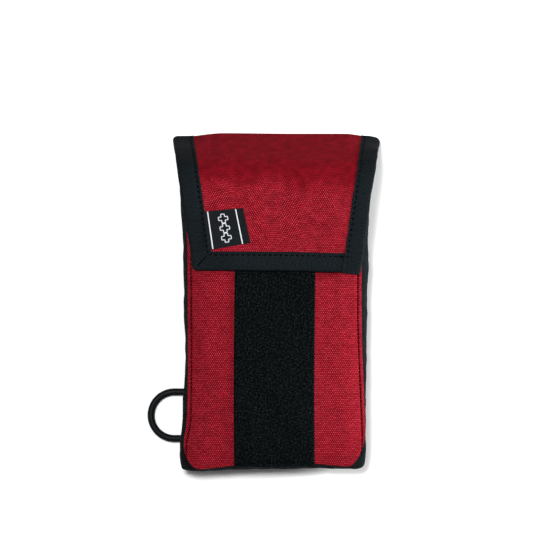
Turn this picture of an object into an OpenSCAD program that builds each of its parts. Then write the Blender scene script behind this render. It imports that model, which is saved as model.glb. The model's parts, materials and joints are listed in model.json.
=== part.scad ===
// Soft first aid pouch lying on its back, packed with supplies.
// Frame: X across the pouch, Y from its bottom seam to its flap fold, Z up from the surface it lies on.
// The origin is the centre of the back panel's outer face.

/* [Pouch] */
// Length from the bottom seam to the upper end of the gussets' flare
pouch_l = 210; // [190:1:230]
// Width at the belly of the side gussets
belly_w = 114; // [108:1:124]
// Width of the flat back panel between the gusset seams
back_w = 95; // [92:1:96]
// Width of the front panel between the gusset seams
front_w = 110.4; // [106:0.2:112]
// Height of the front panel's outer face
pouch_h = 38; // [37.5:0.5:42]
// Thickness of the gusset cloth with its lining
gusset_t = 1.4; // [1:0.1:1.6]

/* [Flap] */
// Half the flap's width at the fold behind the mouth
flap_half_back = 64.5; // [62:0.5:68]
// Half the flap's width at its free edge
flap_half_front = 52.5; // [50:0.5:56]
// Slope of the flap over the mouth, measured from the surface
crown_slope = 60; // [56:1:64]
// Distance from the origin to the flap's free edge
flap_edge_y = 19.5; // [10:0.5:30]
// Width of the binding tape that shows on each face
binding_w = 12.5; // [9:0.5:14]

/* [Fastening tape] */
// Width of the hook and loop tapes
tape_w = 50; // [38:1:50]
// Length of the hook patch under the flap
hook_l = 33; // [25:1:33]

/* [Ring] */
// Inside width of the ring, which takes the webbing tab
ring_inner_w = 25; // [20:1:25]
// Diameter of the ring's wire
ring_wire = 4.4; // [3:0.1:4.4]
// Distance from the bar's axis to the middle of the arch
ring_leg = 8.2; // [4:0.1:10]

/* [Label] */
// Side of the folded woven label
label_side = 24; // [15:1:26]
// Tilt of the label, which follows the slanting binding
label_tilt = 9; // [5:1:12]

/* [Hidden] */
$fn = 64;
eps = 0.01;

// Cloth and tape thicknesses
back_t = 1.2;
front_t = 1.5;
lining_t = 0.5;
loop_t = 1.9;
flap_cloth_t = 1.2;
flap_lining_t = 0.6;
binding_t = 0.5;
hook_t = 1.6;
flap_t = 2 * binding_t + flap_cloth_t + flap_lining_t;
hook_gap = 0.2;
flap_top = pouch_h + loop_t + hook_gap + hook_t + flap_t - binding_t;

// Places along Y; the flap's fold stands past the back panel's end, so that its round nose covers it
top_y = pouch_l / 2;
bottom_y = -pouch_l / 2;
fold_y = top_y + 2.9;
back_end_y = top_y - 3.5;
gusset_end_y = top_y - 4;
back_lining_end_y = top_y - 5.5;
mouth_block_y = top_y - 2;
flare_y = top_y - 60;

// How far the bottom gusset and the front panel's lower edge stand in from the bottom
belly_drop = 8;
front_drop = 2;

// Heights in the gusset's section
front_z0 = pouch_h - front_t;
belly_z0 = 13;
belly_z1 = 27;

// The gusset's outer faces at the back seam and where it spreads at the mouth
back_half = back_w / 2 + gusset_t;
mouth_half_low = 60;
mouth_half_high = 61;

// Blocks that cut a shape or pick a region of it reach past the whole pouch
reach = 100;

// The crown of the flap runs from the fold behind the mouth up to the front edge
crown_l = flap_top / sin(crown_slope);
front_fold_y = fold_y - flap_top / tan(crown_slope);
front_edge_y = front_fold_y - 5.5;
face_l = front_fold_y - flap_edge_y;
flap_l = crown_l + face_l;
flap_half_fold = 60;
back_gap = 2.5;
fold_gap = 1.6;
seam_cover = 1;
mouth_clearance = 1;

// Ring: the bar's axis lies under the belly, and the wire clears the surface
ring_r = ring_wire / 2;
ring_arch_r = ring_inner_w / 2 + ring_r;
ring_x = -back_half - 6.7;
ring_y = bottom_y + 33.4;
ring_z = 3;
tab_bore_r = ring_r + 0.05;
tab_t = 0.6;
tab_w = 24;
tab_tail_t = 1.2;
tab_tail_x = 1.35;
tab_tail_l = -back_half - 0.9 - ring_x - tab_tail_x;

// ---------- shared shapes ----------

// Half-width of the open flap at a distance from its back fold
function flap_half(v) = v < crown_l
    ? flap_half_back + (flap_half_fold - flap_half_back) * v / crown_l
    : flap_half_fold + (flap_half_front - flap_half_fold) * (v - crown_l) / face_l;

// One level of the pouch's outline, a thin slab from its lower end to its upper end
module level(half_low, half_high, y_low, y_high, z)
    translate([0, 0, z]) linear_extrude(eps) polygon([
        [-half_low, y_low], [half_low, y_low], [half_high, y_high], [-half_high, y_high]
    ]);

// The pouch as a closed block, drawn in from its outer faces by inset and past both ends of its height by over
module pouch_block(inset, over) {
    z_top = front_z0 + over - eps;
    back = back_half - inset;
    belly = belly_w / 2 - inset;
    front = front_w / 2 - inset;
    low = bottom_y + inset;
    hull() {
        level(back, back, low + belly_drop, flare_y, -over);
        level(belly, belly, low, flare_y, belly_z0);
        level(belly, belly, low, flare_y, belly_z1);
        level(front, front, low + front_drop, flare_y, z_top);
    }
    hull() {
        level(back, mouth_half_low - inset, flare_y, mouth_block_y, -over);
        level(belly, mouth_half_high - inset, flare_y, mouth_block_y, belly_z0);
        level(belly, mouth_half_high - inset, flare_y, mouth_block_y, belly_z1);
        level(front, mouth_half_low - inset, flare_y, mouth_block_y, z_top);
    }
}

// Places its children, drawn flat and open, at the closed flap's crown
module at_crown() translate([0, fold_y, 0]) rotate([180 - crown_slope, 0, 0]) children();

// Places its children, drawn flat with Y = 0 at the front fold, over the front panel
module at_face() at_crown() translate([0, crown_l, 0]) rotate([crown_slope, 0, 0]) children();

// A strip of the open flap between two distances from the back fold, drawn in at both sides
module flap_strip(v0, v1, inset, z0, z1)
    translate([0, 0, z0]) linear_extrude(z1 - z0) polygon([
        [-flap_half(v0) + inset, v0], [flap_half(v0) - inset, v0],
        [flap_half(v1) - inset, v1], [-flap_half(v1) + inset, v1]
    ]);

// The half-space over the crown's inner face, which trims what stands at the mouth
module over_mouth(clearance)
    at_crown() translate([-reach, -reach, -reach]) cube([2 * reach, 3 * reach, reach + flap_t + clearance]);

// A flat box with round corners, as a sachet or a packet has, with its lowest corner at a place
module packet(place, size, corner)
    translate(place) linear_extrude(size[2]) union() {
        translate([corner, 0]) square([size[0] - 2 * corner, size[1]]);
        translate([0, corner]) square([size[0], size[1] - 2 * corner]);
        for (cx = [corner, size[0] - corner], cy = [corner, size[1] - corner])
            translate([cx, cy]) circle(corner);
    }

// ---------- pouch ----------

seam_gap = 0.1;

// Half-width between the gussets' inner faces at the back, where they flare towards the mouth
function back_inner(y) = back_w / 2 + max(0, y - flare_y)
    * (mouth_half_low - gusset_t - back_w / 2) / (mouth_block_y - flare_y);

// The flat outline that fits between the gussets at the back
module back_outline(gap, y_high) {
    y_low = bottom_y + belly_drop + gusset_t + seam_gap + gap;
    half = back_w / 2 - gap;
    half_high = back_inner(y_high) - gap;
    polygon([
        [-half, y_low], [half, y_low], [half, flare_y],
        [half_high, y_high], [-half_high, y_high], [-half, flare_y]
    ]);
}

module back_panel() color("#15191b") linear_extrude(back_t) back_outline(0, back_end_y);

// The wall round the pouch, open towards the mouth
module gusset_wall() difference() {
    pouch_block(0, 0);
    pouch_block(gusset_t, 1);
    over_mouth(mouth_clearance);
    translate([-reach, gusset_end_y, -reach]) cube([2 * reach, reach, 2 * reach]);
}

// The side gussets' part of the wall: its seams with the bottom gusset run at 45 degrees from the corner
side_seam_l = 17;
module side_region(side) translate([0, 0, -1]) linear_extrude(reach) polygon([
    [side * (belly_w / 2 + reach), bottom_y - reach],
    [side * (belly_w / 2 - side_seam_l), bottom_y + side_seam_l],
    [side * (belly_w / 2 - side_seam_l), fold_y],
    [side * (belly_w / 2 + reach), fold_y]
]);

module gusset_side(side) color("#15191b") intersection() {
    gusset_wall();
    side_region(side);
}

module gusset_bottom() color("#15191b") difference() {
    gusset_wall();
    for (side = [-1, 1]) side_region(side);
}

// Rounded lower corners, square upper corners under the flap
front_corner_r = 9;
module front_outline(inset) {
    corner = front_corner_r - inset / 2;
    half = front_w / 2 - inset;
    low = bottom_y + front_drop + inset;
    top = front_edge_y - inset;
    translate([-half, low + corner]) square([2 * half, top - low - corner]);
    translate([-half + corner, low]) square([2 * half - 2 * corner, corner + 1]);
    for (side = [-1, 1]) translate([side * (half - corner), low + corner]) circle(corner);
}

module front_panel() color("#9c1f2d")
    translate([0, 0, front_z0]) linear_extrude(front_t) front_outline(0);

loop_low_y = bottom_y + 3;
loop_high_y = front_edge_y - 4;
module loop_strip() color("#0e1213")
    translate([-tape_w / 2, loop_low_y, pouch_h]) cube([tape_w, loop_high_y - loop_low_y, loop_t]);

module back_lining() color("#2a2e31")
    translate([0, 0, back_t]) linear_extrude(lining_t) back_outline(0.5, back_lining_end_y);

front_lining_inset = 2.2;
module front_lining() color("#2a2e31")
    translate([0, 0, front_z0 - lining_t]) linear_extrude(lining_t) front_outline(front_lining_inset);

// Tape folded over the cloth along the front panel's upper edge, notched for the loop tape
mouth_tape_w = 9;
mouth_tape_half = 52.6;
mouth_notch_depth = 6;
module mouth_binding() color("#1c2224")
    translate([0, front_edge_y, front_z0 - lining_t - binding_t]) difference() {
        translate([-mouth_tape_half, -mouth_tape_w, 0])
            cube([2 * mouth_tape_half, mouth_tape_w + binding_t, front_t + lining_t + 2 * binding_t]);
        translate([-reach, -reach, binding_t]) cube([2 * reach, reach, front_t + lining_t]);
        translate([-tape_w / 2 - 0.5, -mouth_tape_w - 1, binding_t + 1])
            cube([tape_w + 1, mouth_notch_depth + 1, reach]);
    }

// ---------- ring ----------

// Webbing folded round the ring's bar and sewn into the back seam
module ring_tab() color("#14181a") translate([ring_x, ring_y, ring_z]) {
    rotate([90, 0, 0]) difference() {
        cylinder(r = tab_bore_r + tab_t, h = tab_w, center = true);
        cylinder(r = tab_bore_r, h = tab_w + 1, center = true);
    }
    translate([tab_tail_x, -tab_w / 2, -tab_bore_r - tab_t]) difference() {
        cube([tab_tail_l, tab_w, tab_tail_t]);
        translate([-tab_tail_x, -1, tab_bore_r + tab_t]) rotate([-90, 0, 0])
            cylinder(r = tab_bore_r, h = tab_w + 2);
    }
}

module d_ring() color("#23282b") translate([ring_x, ring_y, ring_z]) {
    rotate([90, 0, 0]) cylinder(r = ring_r, h = 2 * ring_arch_r, center = true);
    for (side = [-1, 1]) translate([0, side * ring_arch_r, 0]) {
        sphere(ring_r);
        rotate([0, -90, 0]) cylinder(r = ring_r, h = ring_leg);
    }
    translate([-ring_leg, 0, 0]) rotate([0, 0, 90]) rotate_extrude(angle = 180)
        translate([ring_arch_r, 0]) circle(ring_r);
}

// ---------- flap ----------

cloth_z0 = binding_t;
cloth_z1 = cloth_z0 + flap_cloth_t;
lining_z1 = cloth_z1 + flap_lining_t;

module crown_shell() color("#9c1f2d") at_crown()
    flap_strip(back_gap, crown_l - fold_gap, seam_cover, cloth_z0, cloth_z1);

module crown_lining() color("#2a2e31") at_crown()
    flap_strip(back_gap, crown_l - fold_gap, seam_cover, cloth_z1, lining_z1);

// The band of tape along one side of the open flap, folded over the cloth
module side_binding(side, v0, v1) difference() {
    flap_strip(v0, v1, 0, 0, flap_t);
    flap_strip(v0 - 1, v1 + 1, seam_cover, cloth_z0, lining_z1);
    translate([0, 0, -1]) linear_extrude(flap_t + 2) polygon([
        [-side * reach, v0 - 1], [side * (flap_half(v0) - binding_w), v0 - 1],
        [side * (flap_half(v1) - binding_w), v1 + 1], [-side * reach, v1 + 1]
    ]);
}

module crown_binding(side) color("#1c2224") at_crown()
    side_binding(side, back_gap, crown_l - fold_gap);

// Draws its children at the face, with Y = 0 at the front fold
module at_face_flat() at_face() translate([0, -crown_l, 0]) children();

module flap_shell() color("#9c1f2d") at_face_flat()
    flap_strip(crown_l + fold_gap, flap_l - seam_cover, seam_cover, cloth_z0, cloth_z1);

module flap_lining() color("#2a2e31") at_face_flat()
    flap_strip(crown_l + fold_gap, flap_l - seam_cover, seam_cover, cloth_z1, lining_z1);

// The part of the flap's lower end that the bottom binding takes, up to a 45 degree mitre
module bottom_region() translate([0, 0, -1]) linear_extrude(flap_t + 2) polygon([
    [-flap_half_front - 1, flap_l + 1], [-flap_half_front - 1 + binding_w + 1, flap_l - binding_w],
    [flap_half_front - binding_w, flap_l - binding_w], [flap_half_front + 1, flap_l + 1]
]);

module flap_binding_side(side) color("#1c2224") at_face_flat() difference() {
    side_binding(side, crown_l + fold_gap, flap_l);
    bottom_region();
}

module flap_binding_bottom() color("#1c2224") at_face_flat() intersection() {
    difference() {
        flap_strip(flap_l - binding_w, flap_l, 0, 0, flap_t);
        flap_strip(flap_l - binding_w - 1, flap_l - seam_cover, seam_cover, cloth_z0, lining_z1);
    }
    bottom_region();
}

hook_setback = 6;
module hook_patch() color("#0e1213") at_face_flat()
    translate([-tape_w / 2, crown_l + hook_setback, lining_z1]) cube([tape_w, hook_l, hook_t]);

// Folded label with its sewn edge at the left binding
label_x = -43.9;
label_y = flap_edge_y + 37.3;
label_t = 0.8;
module woven_label() color("#101416")
    translate([label_x, label_y, flap_top - binding_t + 0.1]) rotate([0, 0, label_tilt])
        translate([0, -label_side, 0]) cube([label_side, label_side, label_t]);

// ---------- supplies ----------

// Two bandage rolls lie end to end across the bottom
roll_r = 15;
roll_l = 49;
roll_gap = 1.2;
roll_y = bottom_y + 19;
roll_z = 19;

module bandage_roll(side) translate([side * (roll_l + roll_gap) / 2, roll_y, roll_z]) rotate([0, 90, 0])
    cylinder(r = roll_r, h = roll_l, center = true);

module gauze_roll() color("#efece2") bandage_roll(-1);

module elastic_bandage() color("#d9b48f") bandage_roll(1);

// A roll of tape stands on its flat side, above the gauze roll
tape_place = [-29, bottom_y + 56, 3];
tape_roll_r = 18.8;
tape_roll_h = 25;
core_r = 11;
core_t = 1.2;

// A ring between two radii, as tall as the tape is wide
module tape_ring(outer, inner) translate(tape_place) difference() {
    cylinder(r = outer, h = tape_roll_h);
    translate([0, 0, -1]) cylinder(r = inner, h = tape_roll_h + 2);
}

module tape_roll() color("#f2efe6") tape_ring(tape_roll_r, core_r);

module tape_core() color("#d8dbdc") tape_ring(core_r, core_r - core_t);

// The blanket lies beside the tape, with the gloves on it
foil_place = [-8.5, bottom_y + 37, 2.5];
foil_size = [57, 38, 21];
glove_place = [-8.5, bottom_y + 37, 24];
glove_size = [60, 38, 9];

module foil_blanket() color("#b9bec2") packet(foil_place, foil_size, 5);

module glove_packet() color("#dfe6ea") packet(glove_place, glove_size, 4);

// Flat things lie in stacks in the upper half
stack_gap = 0.2;
module stack(count, place, size, corner)
    for (i = [0:count - 1]) packet(place + [0, 0, i * (size[2] + stack_gap)], size, corner);

dressing_place = [-47, bottom_y + 78, 2.5];
dressing_size = [70, 72, 3];
sling_place = [-50, bottom_y + 78, 15.5];
sling_size = [73, 70, 9];
strip_place = [-49, bottom_y + 79, 24.8];
strip_size = [20, 70, 1];
wipe_place = [-26, bottom_y + 81, 24.8];
wipe_size = [48, 62, 2];

module wound_dressings() color("#e9edf0") stack(4, dressing_place, dressing_size, 2);

module triangular_bandage() color("#e4e1d6") packet(sling_place, sling_size, 4);

module plaster_strips() color("#e7c9a9") stack(5, strip_place, strip_size, 1);

module wipe_sachets() color("#cfdbe4") stack(3, wipe_place, wipe_size, 1);

// Two sprung arms that meet at the rear end, standing on their edges beside the dressings
tweezer_place = [33, bottom_y + 79, 1.8];
tweezer_w = 8;
module tweezers() color("#b8bcbf") translate(tweezer_place) linear_extrude(tweezer_w) difference() {
    polygon([[-1.5, 0], [1.5, 0], [5.7, 60], [3.7, 71], [-3.7, 71], [-5.7, 60]]);
    polygon([[0, 5], [4.5, 60], [2.7, 71.5], [-2.7, 71.5], [-4.5, 60]]);
}

// ---------- nodes ----------

back_panel();
gusset_side(-1);  // gusset_left
gusset_side(1);  // gusset_right
gusset_bottom();
front_panel();
loop_strip();
mouth_binding();
back_lining();
front_lining();
ring_tab();
d_ring();
crown_shell();
crown_lining();
crown_binding(-1);  // crown_binding_left
crown_binding(1);  // crown_binding_right
flap_shell();
flap_lining();
flap_binding_side(-1);  // flap_binding_left
flap_binding_side(1);  // flap_binding_right
flap_binding_bottom();
hook_patch();
woven_label();
gauze_roll();
elastic_bandage();
tape_roll();
tape_core();
foil_blanket();
glove_packet();
wound_dressings();
triangular_bandage();
plaster_strips();
wipe_sachets();
tweezers();
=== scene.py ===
"""A soft first aid pouch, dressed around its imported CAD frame.

Lengths are in millimetres until a mesh is made. X runs across the pouch, Y towards the flap's fold and
Z up from the surface it lies on.
"""

import json
import math

import bmesh
import bpy
import numpy as np
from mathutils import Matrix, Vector
from mathutils.kdtree import KDTree


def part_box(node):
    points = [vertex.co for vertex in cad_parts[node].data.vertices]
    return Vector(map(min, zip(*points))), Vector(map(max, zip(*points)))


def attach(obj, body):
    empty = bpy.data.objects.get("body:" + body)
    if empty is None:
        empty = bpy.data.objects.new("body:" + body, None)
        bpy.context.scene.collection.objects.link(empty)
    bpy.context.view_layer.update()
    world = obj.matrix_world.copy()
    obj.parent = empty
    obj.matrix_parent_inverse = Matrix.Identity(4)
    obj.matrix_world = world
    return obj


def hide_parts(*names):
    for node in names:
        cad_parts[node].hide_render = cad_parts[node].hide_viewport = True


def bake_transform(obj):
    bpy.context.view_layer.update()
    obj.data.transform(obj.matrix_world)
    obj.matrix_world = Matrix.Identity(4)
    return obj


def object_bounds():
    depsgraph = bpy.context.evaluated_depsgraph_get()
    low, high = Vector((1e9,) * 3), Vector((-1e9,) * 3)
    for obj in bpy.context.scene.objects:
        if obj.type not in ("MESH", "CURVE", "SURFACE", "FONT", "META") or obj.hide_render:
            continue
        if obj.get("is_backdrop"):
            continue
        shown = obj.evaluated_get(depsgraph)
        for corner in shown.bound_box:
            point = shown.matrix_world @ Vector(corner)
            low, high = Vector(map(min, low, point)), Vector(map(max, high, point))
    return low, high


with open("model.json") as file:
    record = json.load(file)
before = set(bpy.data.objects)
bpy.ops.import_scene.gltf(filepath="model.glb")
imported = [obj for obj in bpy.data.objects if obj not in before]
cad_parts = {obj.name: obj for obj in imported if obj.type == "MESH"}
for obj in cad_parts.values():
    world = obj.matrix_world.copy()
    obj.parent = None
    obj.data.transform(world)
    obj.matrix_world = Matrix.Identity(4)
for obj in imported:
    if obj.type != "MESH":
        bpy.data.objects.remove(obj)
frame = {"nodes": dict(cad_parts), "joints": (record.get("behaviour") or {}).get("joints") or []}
CAD_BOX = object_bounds()
MM = 0.001


def box_mm(node):
    """A CAD node's lowest and highest corners."""
    return np.array(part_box(node)) / MM


JOINTS = {joint["name"]: joint for joint in frame["joints"]}
FOLD_Y = JOINTS["crown_fold"]["pos_m"][1] / MM
FRONT_FOLD = np.array(JOINTS["flap_lift"]["pos_m"][1:]) / MM
SLOPE = math.radians(JOINTS["flap_lift"]["range_deg"][1])
TAPE_LOW, TAPE_HIGH = box_mm("loop_strip")


# ---------- camera ----------

LENS_MM = 300
SENSOR_MM = 36
FIELD_MM = 333.1  # what the frame spans at the height of the pouch's front
FRONT_HEIGHT = 30
FAR_M = 20
VIEW_CENTRE = (-5.6, 22.2)


def make_camera():
    data = bpy.data.cameras.new("camera")
    data.lens = LENS_MM
    data.sensor_width = SENSOR_MM
    data.clip_end = FAR_M
    camera = bpy.data.objects.new("camera", data)
    distance = FIELD_MM * LENS_MM / SENSOR_MM
    camera.location = Vector((*VIEW_CENTRE, FRONT_HEIGHT + distance)) * MM
    bpy.context.scene.collection.objects.link(camera)
    bpy.context.scene.camera = camera


make_camera()


# ---------- shapes ----------

def ease(x, low, high):
    """Rises smoothly from 0 to 1 while x goes from low to high."""
    t = np.clip((x - low) / (high - low), 0, 1)
    return t * t * (3 - 2 * t)


def ripple(x, y, length, seed):
    """Smooth unevenness between about -1 and 1, with waves of about that length."""
    rng = np.random.default_rng(seed)
    spans = ((0, math.pi), (0.7, 1.6), (0, 6.3))
    total = 0
    for angle, stretch, phase in zip(*[rng.uniform(low, high, 6) for low, high in spans]):
        along = x * math.cos(angle) + y * math.sin(angle)
        total = total + np.sin(2 * math.pi * along / (length * stretch) + phase)
    return total / 3


def mix(share, first, second):
    """That share of the way from the first to the second."""
    return (1 - share) * first + share * second


def cut_corners(line, times):
    """Rounds a polyline by cutting its corners, keeping its ends."""
    line = np.asarray(line, float)
    for _ in range(times):
        cuts = [mix(share, line[:-1], line[1:]) for share in (0.25, 0.75)]
        middle = np.stack(cuts, 1).reshape(-1, *line.shape[1:])
        line = np.concatenate([line[:1], middle, line[-1:]])
    return line


def runs(line):
    """How far along a line each of its points is."""
    steps = np.linalg.norm(np.diff(line, axis=0), axis=1)
    return np.concatenate([[0], np.cumsum(steps)])


def at_lengths(line, lengths, wanted):
    """The places on a line at some distances along it."""
    return np.stack([np.interp(wanted, lengths, line[:, k]) for k in range(line.shape[1])], -1)


def unit(vectors):
    """The vectors at length 1."""
    return vectors / np.maximum(np.linalg.norm(vectors, axis=-1, keepdims=True), 1e-9)


def lifted(points, z):
    """Flat points with a height at each."""
    return np.concatenate([points, z[..., None]], -1)


def pairs(first, second):
    """Two values for every place of a grid."""
    return np.stack(np.broadcast_arrays(first, second), -1)


def grid_faces(rows, cols, first=0, wrap=False):
    """Quads of a grid of points; wrap joins the last column to the first."""
    index = first + np.arange(rows * cols).reshape(rows, cols)
    if wrap:
        index = np.hstack([index, index[:, :1]])
    quads = [index[:-1, :-1], index[:-1, 1:], index[1:, 1:], index[1:, :-1]]
    return np.stack(quads, -1).reshape(-1, 4).tolist()


def tube_faces(rows, cols, first=0):
    """A closed tube through rows of closed sections, capped at both ends."""
    caps = [list(range(start, start + cols)) for start in (first, first + (rows - 1) * cols)]
    return grid_faces(rows, cols, first, wrap=True) + caps


CREASE = math.radians(55)


def piece(name, verts, faces, uvs, material, slot, body=None, replaces=()):
    """One closed mesh, with its UVs in millimetres of cloth."""
    mesh = bpy.data.meshes.new(name)
    mesh.from_pydata((np.asarray(verts, float) * MM).tolist(), [], faces)
    bm = bmesh.new()
    bm.from_mesh(mesh)
    bmesh.ops.recalc_face_normals(bm, faces=bm.faces)
    bm.to_mesh(mesh)
    bm.free()
    owners = np.empty(len(mesh.loops), int)
    mesh.loops.foreach_get("vertex_index", owners)
    layer = mesh.uv_layers.new(name="cloth")
    layer.data.foreach_set("uv", np.asarray(uvs, np.float32)[owners].ravel())
    mesh.polygons.foreach_set("use_smooth", [True] * len(mesh.polygons))
    mesh.set_sharp_from_angle(angle=CREASE)
    mesh.materials.append(material)
    made = bpy.data.objects.new(name, mesh)
    bpy.context.scene.collection.objects.link(made)
    if replaces:
        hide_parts(*replaces)
    if body:
        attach(made, body)
    return made


def shell(name, outer, inner, uv, *look, **how):
    """A closed sheet between two grids of points."""
    rows, cols = outer.shape[:2]
    count = rows * cols
    index = np.arange(count).reshape(rows, cols)
    rim = np.concatenate([index[0], index[1:, -1], index[-1, -2::-1], index[-2:0:-1, 0]])
    faces = grid_faces(rows, cols) + grid_faces(rows, cols, count)
    faces += [[a, b, b + count, a + count] for a, b in zip(rim.tolist(), np.roll(rim, -1).tolist())]
    verts = np.concatenate([outer.reshape(-1, 3), inner.reshape(-1, 3)])
    return piece(name, verts, faces, np.tile(uv.reshape(-1, 2), (2, 1)), *look, **how)


def slab(name, points, outer, inner, *look, **how):
    """A closed sheet over flat points, between two heights."""
    return shell(name, lifted(points, outer), lifted(points, inner), points, *look, **how)


def sweep(name, sections, uv, *look, **how):
    """A closed solid through rows of closed sections."""
    faces = tube_faces(*sections.shape[:2])
    return piece(name, sections.reshape(-1, 3), faces, uv.reshape(-1, 2), *look, **how)


class Bits:
    """Many small closed tubes that make up one piece."""

    def __init__(self):
        self.verts, self.faces, self.uvs = [], [], []

    def add(self, rings, uvs):
        """One tube through equal rings of points, with a UV for each point."""
        self.faces += tube_faces(len(rings), len(rings[0]), len(self.verts))
        self.verts += [point for ring in rings for point in ring]
        self.uvs += uvs

    def piece(self, name, *look, **how):
        return piece(name, self.verts, self.faces, self.uvs, *look, **how)


def coons(left, right, bottom, top):
    """Fills the four edges of a patch; rows run from the bottom edge to the top edge."""
    w = (runs(left) / runs(left)[-1])[:, None, None]
    u = (runs(bottom) / runs(bottom)[-1])[None, :, None]
    corners = mix(w, mix(u, bottom[0], bottom[-1]), mix(u, top[0], top[-1]))
    return mix(u, left[:, None], right[:, None]) + mix(w, bottom[None], top[None]) - corners


def edge_steps(length, fine, band, coarse):
    """Distances from 0 to length with fine steps in a band at each end."""
    margin = np.arange(0, band, fine)
    middle = np.linspace(band, length - band, max(2, round((length - 2 * band) / coarse)))
    return np.concatenate([margin, middle, length - margin[::-1]])


def distance_to(line, points):
    """How far each point is from a dense line, both in X and Y."""
    tree = KDTree(len(line))
    for i, p in enumerate(line):
        tree.insert((p[0], p[1], 0), i)
    tree.balance()
    flat = points[..., :2].reshape(-1, 2)
    return np.array([tree.find((p[0], p[1], 0))[2] for p in flat]).reshape(points.shape[:-1])


# ---------- materials ----------

class Graph:
    """A node material whose nodes are added by calls that return an output socket."""

    def __init__(self, name, uv=True):
        self.material = bpy.data.materials.new(name)
        self.material.use_nodes = True
        self.tree = self.material.node_tree
        self.tree.nodes.clear()
        self.shader = self.tree.nodes.new("ShaderNodeBsdfPrincipled")
        self.node("OutputMaterial", {"Surface": self.shader.outputs["BSDF"]})
        if uv:
            self.place = self.node("UVMap", uv_map="cloth")["UV"]
        else:
            self.place = self.scale(self.node("TexCoord")["Object"], 1 / MM)

    def feed(self, socket, value):
        if isinstance(value, bpy.types.NodeSocket):
            self.tree.links.new(value, socket)
        else:
            socket.default_value = value

    def node(self, kind, inputs=(), **settings):
        """Adds a node, sets it, feeds its inputs with values or sockets, and gives its outputs."""
        node = self.tree.nodes.new("ShaderNode" + kind)
        for setting, value in settings.items():
            setattr(node, setting, value)
        for key, value in dict(inputs).items():
            self.feed(node.inputs[key], value)
        return node.outputs

    def math(self, operation, *values):
        return self.node("Math", enumerate(values), operation=operation)[0]

    def times(self, first, second):
        return self.math("MULTIPLY", first, second)

    def plus(self, first, second):
        return self.math("ADD", first, second)

    def size(self, value):
        return self.math("ABSOLUTE", value)

    def sine(self, value):
        return self.math("SINE", value)

    def split(self):
        """The first two coordinates of the place on the surface."""
        return self.node("SeparateXYZ", {0: self.place})[:2]

    def noise(self, scale, detail=2, stretch=(1, 1, 1)):
        """Noise from 0 to 1 whose features repeat about scale times a millimetre."""
        sizes = [scale * share for share in stretch]
        scaled = self.node("VectorMath", {0: self.place, 1: sizes}, operation="MULTIPLY")
        return self.node("TexNoise", {"Scale": 1, "Detail": detail, "Vector": scaled[0]})[0]

    def spread(self, value, low, high):
        """Takes 0..1 to low..high."""
        return self.math("MULTIPLY_ADD", value, high - low, low)

    def scale(self, vector, factor):
        """A colour or place times a factor."""
        return self.node("VectorMath", {0: vector, "Scale": factor}, operation="SCALE")[0]

    def ramp(self, value, start, end, low=0.0, high=1.0):
        """Goes smoothly from low to high while the value goes from start to end."""
        ends = {"Value": value, "From Min": start, "From Max": end, "To Min": low, "To Max": high}
        return self.node("MapRange", ends, interpolation_type="SMOOTHSTEP")[0]

    def mottle(self, scale, detail, reach, stretch=(1, 1, 1)):
        """Patches that are that share darker or lighter than the rest."""
        return self.ramp(self.noise(scale, detail, stretch), 0.3, 0.7, 1 - reach, 1 + reach)

    def between(self, factor, first, second):
        """A colour from the first to the second, of which the first may be a socket."""
        first = first if isinstance(first, bpy.types.NodeSocket) else (*first, 1)
        return self.node("Mix", {"Factor": factor, 6: first, 7: (*second, 1)}, data_type="RGBA")[2]

    def finish(self, colour, height, relief=0.1, strength=0.6, rough=0.8, **fixed):
        bump = self.node("Bump", {"Strength": strength, "Distance": relief * MM, "Height": height})[0]
        for socket, value in (("Base Color", colour), ("Roughness", rough), ("Normal", bump), *fixed.items()):
            self.feed(self.shader.inputs[socket.replace("_", " ")], value)
        return self.material


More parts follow.
